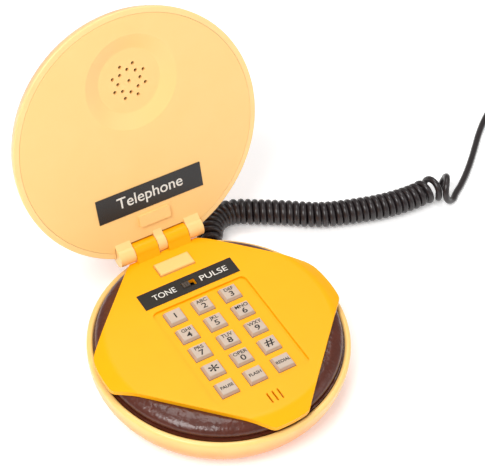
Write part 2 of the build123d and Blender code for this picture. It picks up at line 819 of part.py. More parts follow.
# ================================================================ ballast plate
with BuildPart() as ballast_plate:
    with BuildSketch(Plane.XY.offset(floor_z)):
        with Locations((0, ballast_y)):
            RectangleRounded(ballast_width, ballast_length, ballast_corner)
    extrude(amount=ballast_thickness)
ballast_plate.part.label = "ballast_plate"
export_step(ballast_plate.part, "parts/ballast_plate.step")

# ================================================================ ringer
with BuildPart() as ringer:
    with BuildSketch(Plane.XY.offset(floor_z)):
        with Locations((0, ringer_y)):
            Circle(ringer_radius)
    extrude(amount=ringer_height)
    fillet(ringer.edges().group_by(Axis.Z)[-1], ringer_edge_round)
    with BuildSketch(Plane.XY.offset(floor_z + ringer_height - 1)):
        with Locations((0, ringer_y)):
            Circle(ringer_radius / 6)
    extrude(amount=2, mode=Mode.SUBTRACT)
ringer.part.label = "ringer"
export_step(ringer.part, "parts/ringer.step")

# ================================================================ hinge pin
pin_half_length = hinge_half_width - pin_end_wall - seat_gap
with BuildPart() as hinge_pin:
    with BuildSketch(Plane.YZ.offset(-pin_half_length)):
        with Locations((hinge_y, hinge_z)):
            Circle(pin_radius)
    extrude(amount=2 * pin_half_length)
hinge_pin.part.label = "hinge_pin"
export_step(hinge_pin.part, "parts/hinge_pin.step")

# ================================================================ lid: top bun shell
# The side curves up steeply from the rim and runs into a flatter crown. A ledge inside the rim
# carries the cover, and a round pocket at the back clears the hinge.
pocket_half_width = hinge_half_width + moving_gap
hinge_v = hinge_y
hinge_w = closed_rise
cavity_side_radius = dome_side_radius - lid_wall
cavity_angle = degrees(asin(cavity_start / cavity_side_radius))
ledge_radius = cover_radius - rim_ledge
with BuildPart() as top_bun:
    with BuildSketch(lid_section):
        with BuildLine():
            side_arc = CenterArc((dome_side_centre, 0), dome_side_radius, 0, dome_join_angle)
            crown_arc = CenterArc((0, dome_centre_w), dome_radius, dome_join_angle, 90 - dome_join_angle)
            Polyline(crown_arc @ 1, (0, 0), side_arc @ 0)
        make_face()
    revolve(axis=lid_axis)
    with BuildSketch(lid_section):
        with BuildLine():
            inner_side_arc = CenterArc(
                (dome_side_centre, 0), cavity_side_radius, cavity_angle, dome_join_angle - cavity_angle
            )
            inner_crown_arc = CenterArc(
                (0, dome_centre_w), dome_radius - lid_wall, dome_join_angle, 90 - dome_join_angle
            )
            Polyline(
                inner_crown_arc @ 1,
                (0, -1),
                (cover_radius + seat_gap, -1),
                (cover_radius + seat_gap, cover_thickness),
                (ledge_radius, cover_thickness),
                (ledge_radius, cover_thickness + rim_ledge_height),
                inner_side_arc @ 0,
            )
        make_face()
    revolve(axis=lid_axis, mode=Mode.SUBTRACT)
    rim_edges = top_bun.edges().filter_by(GeomType.CIRCLE).filter_by(
        lambda e: abs(e.radius - lid_rim_radius) < 0.01
    )
    fillet(rim_edges, rim_round)
    with BuildSketch(lid_side.offset(-pocket_half_width)):
        with Locations((hinge_v, hinge_w)):
            Circle(hinge_pocket_radius)
    extrude(amount=2 * pocket_half_width, mode=Mode.SUBTRACT)
top_bun.part.label = "top_bun"
export_step(top_bun.part, "parts/top_bun.step")

# ================================================================ lid: inner cover
# The disc you see when the phone is open: a dished earpiece with its holes, the pad that presses
# the hook button, and three knuckles that curl round the hinge pin.
dish_back = cover_thickness + dish_depth
strap_boss_root = 0.85 * dish_depth
lid_knuckles = (
    (-hinge_half_width, -knuckle_outer - knuckle_gap),
    (-knuckle_inner + knuckle_gap, knuckle_inner - knuckle_gap),
    (knuckle_outer + knuckle_gap, hinge_half_width),
)
speaker_holes = [(0.0, 0.0)]
for ring_radius, ring_start in ((speaker_ring_outer, 22.5), (speaker_ring_inner, 0.0)):
    for step in range(speaker_ring_count):
        hole_angle = radians(ring_start + 360 / speaker_ring_count * step)
        speaker_holes.append((ring_radius * cos(hole_angle), ring_radius * sin(hole_angle)))
with BuildPart() as lid_cover:
    with BuildSketch(lid_plane):
        Circle(cover_radius)
    extrude(amount=cover_thickness)
    with BuildSketch(lid_side.offset(-pocket_half_width)):
        with Locations((hinge_v, hinge_w)):
            Circle(hinge_pocket_radius)
    extrude(amount=2 * pocket_half_width, mode=Mode.SUBTRACT)
    with BuildSketch(speaker_section):
        with BuildLine():
            Polyline(
                (0, cover_thickness / 2),
                (dish_outer_radius + 2, cover_thickness / 2),
                (dish_outer_radius + 2, cover_thickness),
                (dish_inner_radius + 2, dish_back),
                (0, dish_back),
                close=True,
            )
        make_face()
    revolve(axis=speaker_axis)
    with BuildSketch(speaker_section) as dish_profile:
        with BuildLine():
            Polyline(
                (0, -1),
                (dish_outer_radius + 12, -1),
                (dish_outer_radius + 12, 0),
                (dish_outer_radius, 0),
                (dish_inner_radius, dish_depth),
                (0, dish_depth),
                close=True,
            )
        make_face()
        dish_corners = dish_profile.vertices().filter_by(
            lambda v: abs(v.X - dish_outer_radius) < 0.01 or abs(v.X - dish_inner_radius) < 0.01
        )
        fillet(dish_corners, dish_blend)
    revolve(axis=speaker_axis, mode=Mode.SUBTRACT)
    with BuildSketch(speaker_plane):
        with Locations(*speaker_holes):
            Circle(speaker_hole_radius)
    extrude(amount=dish_back + 1, mode=Mode.SUBTRACT)
    for knuckle_start, knuckle_end in lid_knuckles:
        with BuildSketch(lid_side.offset(knuckle_start)):
            with Locations((hinge_v, hinge_w)):
                Circle(barrel_radius)
            with BuildLine():
                Polyline(
                    (hinge_v - lug_web_reach, 0),
                    (hinge_v - barrel_radius + 0.3, -lug_web_drop),
                    (hinge_v, hinge_w),
                    (hinge_v - 1.0, hinge_w + barrel_radius - 0.1),
                    (hinge_v - lug_web_reach, cover_thickness),
                    close=True,
                )
            make_face()
        extrude(amount=knuckle_end - knuckle_start)
    with BuildSketch(lid_side.offset(-pin_half_length - seat_gap)):
        with Locations((hinge_v, hinge_w)):
            Circle(pin_radius + pin_gap)
    extrude(amount=2 * (pin_half_length + seat_gap), mode=Mode.SUBTRACT)
    with BuildSketch(lid_plane.offset(-hook_pad_height)):
        with Locations((0, hinge_v - hinge_to_hook)):
            RectangleRounded(hook_pad_width, hook_pad_length, hook_pad_corner)
    extrude(amount=hook_pad_height + cover_thickness / 2)
    with BuildSketch(speaker_plane.offset(strap_boss_root)):
        with Locations((-strap_boss_reach, 0), (strap_boss_reach, 0)):
            Circle(strap_boss_radius)
    extrude(amount=dish_back + receiver_height - strap_boss_root)
    with BuildSketch(speaker_plane.offset(dish_back + receiver_height - strap_screw_length)):
        with Locations((-strap_boss_reach, 0), (strap_boss_reach, 0)):
            Circle(strap_screw_radius + screw_gap)
    extrude(amount=strap_screw_length + 1, mode=Mode.SUBTRACT)
lid_cover.part.label = "lid_cover"
export_step(lid_cover.part, "parts/lid_cover.step")

# ================================================================ lid: label plate
with BuildPart() as lid_label:
    with BuildSketch(lid_plane.offset(-lid_label_thickness)):
        with Locations((0, hinge_v - hinge_to_lid_label)):
            Rectangle(lid_label_width, lid_label_length)
    extrude(amount=lid_label_thickness)
lid_label.part.label = "lid_label"
export_step(lid_label.part, "parts/lid_label.step")

# ================================================================ lid: receiver, its strap and screws
with BuildPart() as receiver:
    with BuildSketch(speaker_plane.offset(dish_back)):
        Circle(receiver_radius)
    extrude(amount=receiver_height)
    fillet(receiver.faces().sort_by(lid_axis)[-1].edges(), receiver_edge_round)
receiver.part.label = "receiver"
export_step(receiver.part, "parts/receiver.step")

strap_level = dish_back + receiver_height
with BuildPart() as receiver_strap:
    with BuildSketch(speaker_plane.offset(strap_level)):
        SlotOverall(strap_length, strap_width)
        with Locations((-strap_boss_reach, 0), (strap_boss_reach, 0)):
            Circle(strap_screw_radius + seat_gap, mode=Mode.SUBTRACT)
    extrude(amount=strap_thickness)
receiver_strap.part.label = "receiver_strap"
export_step(receiver_strap.part, "parts/receiver_strap.step")

with BuildPart() as receiver_screws:
    with BuildSketch(speaker_plane.offset(strap_level + strap_thickness)):
        with Locations((-strap_boss_reach, 0), (strap_boss_reach, 0)):
            Circle(strap_screw_head_radius)
    extrude(amount=strap_screw_head_height)
    with BuildSketch(speaker_plane.offset(strap_level + strap_thickness)):
        with Locations((-strap_boss_reach, 0), (strap_boss_reach, 0)):
            Circle(strap_screw_radius)
    extrude(amount=-strap_screw_length)
receiver_screws.part.label = "receiver_screws"
export_step(receiver_screws.part, "parts/receiver_screws.step")

# ================================================================ strain relief
# A rubber bush in the bun's side wall, with a flange inside and a tapered nose outside.
drop_angle = asin((cord_exit_height - side_centre_z) / side_height)
wall_outer_reach = bun_floor_radius + side_width * cos(drop_angle)
nose_start = wall_outer_reach + relief_nose_start
relief_start = wall_outer_reach - relief_flange_setback
relief_reach = nose_start + relief_nose_length
with BuildPart() as strain_relief:
    with BuildSketch(exit_plane.offset(relief_start)):
        Circle(relief_bush_radius)
    extrude(amount=nose_start - relief_start)
    with BuildSketch(exit_plane.offset(relief_start)):
        Circle(relief_flange_radius)
    extrude(amount=relief_flange_thickness)
    with BuildSketch(exit_plane.offset(nose_start)):
        Circle(relief_bush_radius)
    with BuildSketch(exit_plane.offset(relief_reach)):
        Circle(relief_tip_radius)
    loft()
strain_relief.part.label = "strain_relief"
export_step(strain_relief.part, "parts/strain_relief.step")


# ================================================================ cord
def cord_path(points):
    """Straight runs joined by arcs, each arc as large as its two runs allow."""
    vectors = [Vector(*p) for p in points]
    radii = []
    for before, corner, after in zip(vectors, vectors[1:], vectors[2:]):
        run_in = corner - before
        run_out = after - corner
        bend = radians(run_in.get_angle(run_out))
        shorter = min(run_in.length, run_out.length)
        radii.append(corner_share * shorter / ((1 - cos(bend)) / sin(bend)))
    return FilletPolyline(*points, radius=radii), radii


def cord_tube(points, tube_radius, label):
    """One round tube along the path, written as its own piece."""
    with BuildPart() as tube:
        with BuildLine() as path:
            line, radii = cord_path(points)
        start_direction = line % 0
        with BuildSketch(Plane(origin=points[0], z_dir=start_direction)):
            Circle(tube_radius)
        sweep(path=path.line)
    tube.part.label = label
    export_step(tube.part, f"parts/{label}.step")
    expected = pi * tube_radius**2 * line.length
    print(f"{label}: length {line.length:.1f}, volume share {tube.part.volume / expected:.4f}")
    print(f"{label}: radii {[round(r, 1) for r in radii]}")


coil_entry = (coil_centre[0], coil_centre[1] + coil_mean_radius + wire_radius, coil_lift + wire_radius)
# The curly stretch lies on the table after it leaves the bun, and turns to the right.
relief_tip = (relief_reach * exit_direction[0], relief_reach * exit_direction[1], cord_exit_height)
curl_route = [
    relief_tip,
    (83.0 * exit_direction[0], 83.0 * exit_direction[1], cord_exit_height),
    (45.5, 81.8, 7.9),
    (56.5, 83.5, 7.4),
    (69.0, 75.6, 7.4),
    (82.5, 67.6, 7.4),
    (97.0, 57.2, 7.4),
    (114.0, 51.0, 7.4),
    (132.0, 45.6, 7.4),
    (148.0, 43.6, 7.4),
    (161.0, 43.6, 7.4),
]
# The straight tail drops off the last turn and runs away over the table to the coil.
tail_route = [
    (161.0, 38.6, 3.4),
    (168.0, 38.6, 3.4),
    (176.0, 39.8, 2.0),
    (189.0, 47.0, 1.85),
    (203.0, 58.4, 1.85),
    (217.0, 71.0, 1.85),
    (231.0, 82.0, 1.85),
    (247.0, 89.5, 1.85),
    (266.0, coil_entry[1], coil_entry[2]),
    coil_entry,
]
cord_tube(curl_route, curl_radius, "curly_cord")
cord_tube(tail_route, wire_radius, "cord_tail")

# The put-away coil: two layers of turns, two abreast. The tail enters the lower layer and the end
# leaves the upper one.
coil_half_width = 2 * wire_radius + 0.8
coil_height = 2 * coil_layers * wire_radius
notch_width = 2 * wire_radius + 3 * seat_gap
upper_notch_z = coil_lift + 2 * wire_radius - 3 * seat_gap
with BuildPart() as cord_coil:
    with BuildSketch(Plane.XY.offset(coil_lift)):
        with Locations(coil_centre):
            Circle(coil_mean_radius + coil_half_width)
            Circle(coil_mean_radius - coil_half_width, mode=Mode.SUBTRACT)
    extrude(amount=coil_height)
    fillet(cord_coil.edges(), wire_radius * 0.8)
    with BuildSketch(Plane.XY.offset(coil_lift)):
        with Locations((coil_entry[0] - coil_mean_radius / 2, coil_entry[1] + seat_gap)):
            Rectangle(coil_mean_radius, notch_width)
    extrude(amount=2 * wire_radius, mode=Mode.SUBTRACT)
    with BuildSketch(Plane.XY.offset(upper_notch_z)):
        with Locations((coil_entry[0] + coil_mean_radius / 2, coil_entry[1] + seat_gap)):
            Rectangle(coil_mean_radius, notch_width)
    extrude(amount=coil_height, mode=Mode.SUBTRACT)
cord_coil.part.label = "cord_coil"
export_step(cord_coil.part, "parts/cord_coil.step")

with BuildPart() as coil_tie:
    with BuildSketch(Plane.XZ.offset(-coil_centre[1] - tie_width / 2)):
        with Locations((coil_centre[0] - coil_mean_radius, coil_lift + coil_height / 2)):
            Rectangle(2 * (coil_half_width + moving_gap + tie_thickness), coil_height + 2 * tie_thickness)
            Rectangle(2 * (coil_half_width + moving_gap), coil_height, mode=Mode.SUBTRACT)
    extrude(amount=tie_width)
coil_tie.part.label = "coil_tie"
export_step(coil_tie.part, "parts/coil_tie.step")

# The last stretch leaves the upper layer, comes down to the table and ends in the plug.
plug_z = plug_height / 2
plug_y = coil_entry[1] + 0.6
upper_z = coil_lift + (2 * coil_layers - 1) * wire_radius
end_route = [
    (coil_entry[0], coil_entry[1], upper_z),
    (coil_entry[0] + 12.5, coil_entry[1], upper_z),
    (coil_entry[0] + 25.5, plug_y, plug_z),
    (coil_entry[0] + 38.0, plug_y, plug_z),
]
cord_tube(end_route, wire_radius, "cord_end")

plug_x = end_route[-1][0]
latch_root = plug_x + plug_length
with BuildPart() as line_plug:
    with BuildSketch(Plane.YZ.offset(plug_x)):
        with Locations((plug_y, plug_z)):
            Rectangle(plug_width, plug_height)
    extrude(amount=plug_length)
    fillet(line_plug.edges().filter_by(Axis.X), plug_edge_round)
    with BuildSketch(Plane.XZ.offset(-plug_y - plug_width / 5)):
        with BuildLine():
            Polyline(
                (latch_root - 0.6, plug_height - 0.2),
                (latch_root - 0.6, plug_height + latch_thickness),
                (plug_x + 3.0, plug_height + latch_rise),
                (plug_x + 3.0, plug_height + latch_rise - latch_thickness),
                (latch_root - 6.0, plug_height - 0.2),
                close=True,
            )
        make_face()
    extrude(amount=2 * plug_width / 5)
    with BuildSketch(Plane.XY):
        with Locations((latch_root - contact_slot_length / 2, plug_y)):
            with GridLocations(1, contact_pitch, 1, 4):
                Rectangle(contact_slot_length, contact_slot_width)
    extrude(amount=contact_slot_depth, mode=Mode.SUBTRACT)
line_plug.part.label = "line_plug"
export_step(line_plug.part, "parts/line_plug.step")

with BuildPart() as plug_contacts:
    with BuildSketch(Plane.XY.offset(contact_width)):
        with Locations((latch_root - contact_slot_length / 2, plug_y)):
            with GridLocations(1, contact_pitch, 1, 4):
                Rectangle(contact_length, contact_width)
    extrude(amount=contact_slot_depth - contact_width)
plug_contacts.part.label = "plug_contacts"
export_step(plug_contacts.part, "parts/plug_contacts.step")

print(f"hinge at y {hinge_y:.2f}, z {hinge_z:.2f}; open lid's centre {lid_centre}")
print(f"keys: first row y {first_key_y:.2f}, last row y {last_key_y:.2f}, tops {key_top:.2f}")
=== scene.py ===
# %% [markdown]
# # A telephone shaped like a hamburger
# The measured model comes first and stays fixed: bun, patty, cheese plate, keys and lid already have
# their true sizes. This lesson adds what a maker would call the finish: the curly cord, the printing,
# the seeds, and a material for every surface. Everything is in metres, in the model's own frame.
# %% Load the fixed model
import json
import math
import random

import bmesh
import bpy
from mathutils import Matrix, Vector


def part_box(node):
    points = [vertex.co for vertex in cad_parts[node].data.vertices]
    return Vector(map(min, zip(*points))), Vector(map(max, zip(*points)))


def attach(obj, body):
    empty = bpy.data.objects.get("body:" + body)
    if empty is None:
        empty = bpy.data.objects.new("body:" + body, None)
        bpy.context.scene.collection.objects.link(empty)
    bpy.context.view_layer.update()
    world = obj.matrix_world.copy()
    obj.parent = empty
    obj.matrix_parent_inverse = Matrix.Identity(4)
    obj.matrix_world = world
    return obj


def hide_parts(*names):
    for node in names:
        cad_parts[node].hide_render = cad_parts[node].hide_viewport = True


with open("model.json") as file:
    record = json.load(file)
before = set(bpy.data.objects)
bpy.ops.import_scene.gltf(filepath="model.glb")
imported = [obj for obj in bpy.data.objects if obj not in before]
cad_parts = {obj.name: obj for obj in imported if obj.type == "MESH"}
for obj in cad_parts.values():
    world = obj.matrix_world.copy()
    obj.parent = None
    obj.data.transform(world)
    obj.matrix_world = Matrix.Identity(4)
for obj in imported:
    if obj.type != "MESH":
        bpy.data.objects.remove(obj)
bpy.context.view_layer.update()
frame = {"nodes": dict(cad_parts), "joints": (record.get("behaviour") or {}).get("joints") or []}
nodes = frame["nodes"]
MM = 0.001


# %% [markdown]
# ## Camera
# The telephone is seen from its front left and from above, through a long lens, so its circles stay
# nearly true ellipses. A camera looks along its own -Z, so its three axes are worked out from an
# azimuth, an elevation and a small roll, and they become the columns of its matrix.
# %% Place the camera
view_azimuth = math.radians(-33.36)
view_elevation = math.radians(47.47)
view_roll = math.radians(3.13)
view_distance = 816.3 * MM
view_target = Vector((50.0, 60.2, 15.35)) * MM

camera_back = Vector((
    math.sin(view_azimuth) * math.cos(view_elevation),
    -math.cos(view_azimuth) * math.cos(view_elevation),
    math.sin(view_elevation),
))
level_right = Vector((math.cos(view_azimuth), math.sin(view_azimuth), 0))
level_up = camera_back.cross(level_right)
camera_right = level_right * math.cos(view_roll) + level_up * math.sin(view_roll)
camera_up = level_up * math.cos(view_roll) - level_right * math.sin(view_roll)

camera = bpy.data.objects.new("camera", bpy.data.cameras.new("camera"))
bpy.context.collection.objects.link(camera)
camera.data.lens = 114.5
camera.data.sensor_width = 36
camera.data.sensor_fit = "HORIZONTAL"
camera_axes = Matrix((camera_right, camera_up, camera_back)).transposed().to_4x4()
camera.matrix_world = Matrix.Translation(view_target + camera_back * view_distance) @ camera_axes
bpy.context.scene.camera = camera
print("camera at", [round(c, 4) for c in camera.matrix_world.translation])


# %% [markdown]
# ## Studio
# Glossy plastic looks best under large soft sources, because a small lamp would leave hard white
# dots. A nearly white sky fills the shadows, one wide panel on the upper left makes the
# long highlights, and two weaker panels soften the other sides. The plain view transform keeps the
# yellow as saturated as it is. The floor is white paper that glows a little, so shadows stay faint.
# %% Floor, sky and panels
scene = bpy.context.scene
scene.view_settings.view_transform = "Standard"
scene.world = bpy.data.worlds.new("studio")
scene.world.use_nodes = True
sky = scene.world.node_tree.nodes["Background"]
sky.inputs["Color"].default_value = (1.0, 0.99, 0.97, 1)
sky.inputs["Strength"].default_value = 0.42


def soft_panel(name, place, aim, width, power):
    """One square area light that points at a place on the telephone."""
    lamp = bpy.data.objects.new(name, bpy.data.lights.new(name, "AREA"))
    bpy.context.collection.objects.link(lamp)
    lamp.data.size = width
    lamp.data.energy = power
    turn = (Vector(place) - Vector(aim)).to_track_quat("Z", "Y")
    lamp.matrix_world = Matrix.Translation(place) @ turn.to_matrix().to_4x4()


soft_panel("key_panel", (-0.55, -0.25, 0.95), (0, 0, 0.03), 0.5, 9.5)
soft_panel("fill_panel", (0.8, -0.7, 0.7), (0, 0, 0.03), 0.9, 3.0)
soft_panel("top_panel", (0.25, 0.4, 1.1), (0, 0.02, 0.03), 0.5, 4.0)

floor_mesh = bpy.data.meshes.new("floor")
floor_build = bmesh.new()
bmesh.ops.create_grid(floor_build, x_segments=1, y_segments=1, size=6)
floor_build.to_mesh(floor_mesh)
floor_build.free()
floor = bpy.data.objects.new("floor", floor_mesh)
bpy.context.collection.objects.link(floor)


# %% [markdown]
# ## Finishes
# Each finish starts from one principled shader. A helper makes that shader and gives its colour two
# close tones mixed by a soft noise, since no moulded plastic is one flat colour, and a fine bump that
# breaks up the reflections. The noise reads object coordinates in metres, so its scale is large.
# %% A helper for finishes
def tint(red, green, blue):
    """A colour given as a maker mixes it, from 0 to 255 on a screen, in the shader's linear units."""
    linear = [((c / 255 + 0.055) / 1.055) ** 2.4 if c > 10 else c / 255 / 12.92 for c in (red, green, blue)]
    return (*linear, 1)


def new_finish(name, roughness):
    """An empty finish: its node tree, its shader and the object coordinates."""
    finish = bpy.data.materials.new(name)
    finish.use_nodes = True
    tree = finish.node_tree
    shader = tree.nodes["Principled BSDF"]
    shader.inputs["Roughness"].default_value = roughness
    place = tree.nodes.new("ShaderNodeTexCoord").outputs["Object"]
    return finish, tree, shader, place


def noise_between(tree, place, light, dark, scale, detail=3.0):
    """A colour that drifts between two tones."""
    noise = tree.nodes.new("ShaderNodeTexNoise")
    noise.inputs["Scale"].default_value = scale
    noise.inputs["Detail"].default_value = detail
    tree.links.new(place, noise.inputs["Vector"])
    mix = tree.nodes.new("ShaderNodeMix")
    mix.data_type = "RGBA"
    mix.inputs["A"].default_value = light
    mix.inputs["B"].default_value = dark
    tree.links.new(noise.outputs["Fac"], mix.inputs["Factor"])
    return mix.outputs["Result"]


def grain_bump(tree, shader, place, scale, height, detail=2.0):
    """A fine moulded grain, given by its scale and its height in metres."""
    noise = tree.nodes.new("ShaderNodeTexNoise")
    noise.inputs["Scale"].default_value = scale
    noise.inputs["Detail"].default_value = detail
    tree.links.new(place, noise.inputs["Vector"])
    bump = tree.nodes.new("ShaderNodeBump")
    bump.inputs["Distance"].default_value = height
    bump.inputs["Strength"].default_value = 1.0
    tree.links.new(noise.outputs["Fac"], bump.inputs["Height"])
    tree.links.new(bump.outputs["Normal"], shader.inputs["Normal"])


def moulded_plastic(name, light, dark, roughness, grain_height=0.00001, sheen=0.5):
    """Plain moulded plastic: two close tones, a fine grain and the strength of its reflections."""
    finish, tree, shader, place = new_finish(name, roughness)
    colour = noise_between(tree, place, light, dark, 60)
    tree.links.new(colour, shader.inputs["Base Color"])
    shader.inputs["Specular IOR Level"].default_value = sheen
    grain_bump(tree, shader, place, 2500, grain_height)
    return finish


def paint(node_name, finish):
    """Give one finish to every slot of a CAD node."""
    piece = nodes[node_name]
    if not piece.data.materials:
        piece.data.materials.append(finish)
    for index in range(len(piece.material_slots)):
        piece.material_slots[index].material = finish


floor_finish, floor_tree, floor_shader, floor_place = new_finish("floor_paper", 0.9)
floor_colour = noise_between(floor_tree, floor_place, (0.93, 0.93, 0.93, 1), (0.90, 0.90, 0.90, 1), 3)
floor_tree.links.new(floor_colour, floor_shader.inputs["Base Color"])
floor_shader.inputs["Emission Color"].default_value = (1, 1, 1, 1)
floor_shader.inputs["Emission Strength"].default_value = 0.25
floor.data.materials.append(floor_finish)
print("floor finish made")


# %% [markdown]
# ## Buns
# Each bun is pale at its cut edge and turns a deeper orange-brown further from it. A second colour is mixed
# over the first by a ramp along the height, with a noise that makes the ramp's edge uneven.
# %% Bottom bun and top bun
def graded_bun(name, pale, deeper_tone, start, direction, from_depth, to_depth, roughness):
    """Pale plastic that turns to a second, deeper tone with the distance from a plane."""
    finish, tree, shader, place = new_finish(name, roughness)
    shift = tree.nodes.new("ShaderNodeVectorMath")
    shift.operation = "SUBTRACT"
    shift.inputs[1].default_value = start
    tree.links.new(place, shift.inputs[0])
    depth = tree.nodes.new("ShaderNodeVectorMath")
    depth.operation = "DOT_PRODUCT"
    depth.inputs[1].default_value = direction
    tree.links.new(shift.outputs["Vector"], depth.inputs[0])
    ramp_noise = tree.nodes.new("ShaderNodeTexNoise")
    ramp_noise.inputs["Scale"].default_value = 55
    ramp_noise.inputs["Detail"].default_value = 4
    tree.links.new(place, ramp_noise.inputs["Vector"])
    wobble = tree.nodes.new("ShaderNodeMath")
    wobble.operation = "MULTIPLY_ADD"
    wobble.inputs[1].default_value = 0.006
    tree.links.new(ramp_noise.outputs["Fac"], wobble.inputs[0])
    tree.links.new(depth.outputs["Value"], wobble.inputs[2])
    fade = tree.nodes.new("ShaderNodeMapRange")
    fade.interpolation_type = "SMOOTHSTEP"
    fade.inputs["From Min"].default_value = from_depth
    fade.inputs["From Max"].default_value = to_depth
    tree.links.new(wobble.outputs["Value"], fade.inputs["Value"])
    mix = tree.nodes.new("ShaderNodeMix")
    mix.data_type = "RGBA"
    mix.inputs["A"].default_value = pale
    mix.inputs["B"].default_value = deeper_tone
    tree.links.new(fade.outputs["Result"], mix.inputs["Factor"])
    tree.links.new(mix.outputs["Result"], shader.inputs["Base Color"])
    grain_bump(tree, shader, place, 1800, 0.000012)
    return finish


lip_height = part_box("bottom_bun")[1][2]
# The bottom bun turns darker and more orange further below its lip.
bun_finish = graded_bun(
    "bottom_bun_plastic",
    tint(250, 203, 122), tint(236, 150, 66),
    (0, 0, lip_height), (0, 0, -1), 0.003, 0.015, 0.3,
)
paint("bottom_bun", bun_finish)

hinge = next(joint for joint in frame["joints"] if joint["name"] == "lid_hinge")
hinge_place = Vector(hinge["pos_m"])
open_angle = math.radians(hinge["range_deg"][1])
lid_inward = Vector((0, -math.sin(open_angle), -math.cos(open_angle)))
lid_away = Vector((0, -math.cos(open_angle), math.sin(open_angle)))
lid_outward = -lid_inward
# The top bun turns darker and browner towards its crown.
top_finish = graded_bun(
    "top_bun_plastic",
    tint(250, 207, 140), tint(214, 132, 58),
    tuple(hinge_place), tuple(lid_outward), 0.003, 0.012, 0.3,
)
paint("top_bun", top_finish)
print("lid points away from the hinge along", [round(c, 3) for c in lid_away])

# %% [markdown]
# ## Cover, cheese and keys
# These are plain moulded plastics. The cover is a pale satin, the cheese a saturated yellow with weak
# reflections, the hook button a shade deeper than the cover, and the keys a dull beige.
# %% Cover, cheese and keys
cover_finish = moulded_plastic("cover_plastic", tint(248, 202, 132), tint(246, 198, 125), 0.36)
cheese_finish = moulded_plastic("cheese_plastic", tint(250, 173, 3), tint(248, 168, 2), 0.36, 0.00001, 0.22)
hook_finish = moulded_plastic("hook_plastic", tint(246, 196, 120), tint(244, 192, 114), 0.4)
key_finish = moulded_plastic("key_plastic", tint(192, 174, 158), tint(184, 166, 150), 0.5)
paint("lid_cover", cover_finish)
paint("hook_button", hook_finish)
paint("cheese_plate", cheese_finish)
key_nodes = sorted(name for name in nodes if name.startswith("key_"))
for key_name in key_nodes:
    paint(key_name, key_finish)
print("keys:", len(key_nodes))


# %% [markdown]
# ## Patty
# The patty is one dark, shiny moulding with a fine grain like leather: many small rounded cells,
# pushed about by a noise so that no row of them lines up, over a slower unevenness.
# %% Patty
patty_finish, patty_tree, patty_shader, patty_place = new_finish("patty_plastic", 0.3)
patty_colour = noise_between(patty_tree, patty_place, tint(92, 38, 22), tint(62, 25, 14), 140)
patty_tree.links.new(patty_colour, patty_shader.inputs["Base Color"])
push = patty_tree.nodes.new("ShaderNodeTexNoise")
push.inputs["Scale"].default_value = 200
patty_tree.links.new(patty_place, push.inputs["Vector"])
pushed = patty_tree.nodes.new("ShaderNodeVectorMath")
pushed.operation = "MULTIPLY_ADD"
pushed.inputs[1].default_value = (0.004, 0.004, 0.004)
patty_tree.links.new(push.outputs["Color"], pushed.inputs[0])
patty_tree.links.new(patty_place, pushed.inputs[2])
cells = patty_tree.nodes.new("ShaderNodeTexVoronoi")
cells.feature = "SMOOTH_F1"
cells.inputs["Scale"].default_value = 620
patty_tree.links.new(pushed.outputs["Vector"], cells.inputs["Vector"])
swell = patty_tree.nodes.new("ShaderNodeTexNoise")
swell.inputs["Scale"].default_value = 170
swell.inputs["Detail"].default_value = 4
patty_tree.links.new(patty_place, swell.inputs["Vector"])
grain_height = patty_tree.nodes.new("ShaderNodeMath")
grain_height.operation = "MULTIPLY_ADD"
grain_height.inputs[1].default_value = -0.5
patty_tree.links.new(cells.outputs["Distance"], grain_height.inputs[0])
patty_tree.links.new(swell.outputs["Fac"], grain_height.inputs[2])
patty_bump = patty_tree.nodes.new("ShaderNodeBump")
patty_bump.inputs["Distance"].default_value = 0.0005
patty_bump.inputs["Strength"].default_value = 0.7
patty_tree.links.new(grain_height.outputs["Value"], patty_bump.inputs["Height"])
patty_tree.links.new(patty_bump.outputs["Normal"], patty_shader.inputs["Normal"])
paint("patty", patty_finish)
print("patty finish made")

# %% [markdown]
# ## Small parts
# Labels, switches, rubber, steel and the circuit board each get their own finish.
# %% Small parts
label_finish = moulded_plastic("black_label", tint(26, 23, 24), tint(20, 18, 19), 0.2, 0.000003)
felt_finish = moulded_plastic("dark_felt", tint(8, 8, 8), tint(5, 5, 5), 0.9, 0.00002)
strip_finish = moulded_plastic("strip_black", tint(28, 25, 24), tint(22, 20, 19), 0.45, 0.000003, 0.3)
rubber_finish = moulded_plastic("black_rubber", tint(30, 29, 29), tint(22, 21, 21), 0.7, 0.00003)
dark_finish = moulded_plastic("component_black", tint(28, 28, 28), tint(20, 20, 20), 0.5)
slider_finish = moulded_plastic("switch_white", tint(62, 52, 44), tint(54, 45, 38), 0.4)
membrane_finish = moulded_plastic("membrane_rubber", tint(190, 188, 180), tint(180, 178, 170), 0.7)
board_finish = moulded_plastic("board_green", tint(44, 110, 60), tint(36, 96, 52), 0.45)
plug_finish = moulded_plastic("clear_plug", tint(206, 210, 210), tint(196, 200, 200), 0.12, 0.000002)
plug_shader = plug_finish.node_tree.nodes["Principled BSDF"]
plug_shader.inputs["Transmission Weight"].default_value = 0.6


def brushed_metal(name, light, dark, roughness):
    """Metal with a fine brushed grain."""
    finish, tree, shader, place = new_finish(name, roughness)
    shader.inputs["Metallic"].default_value = 1.0
    colour = noise_between(tree, place, light, dark, 400)
    tree.links.new(colour, shader.inputs["Base Color"])
    grain_bump(tree, shader, place, 3000, 0.000006)
    return finish


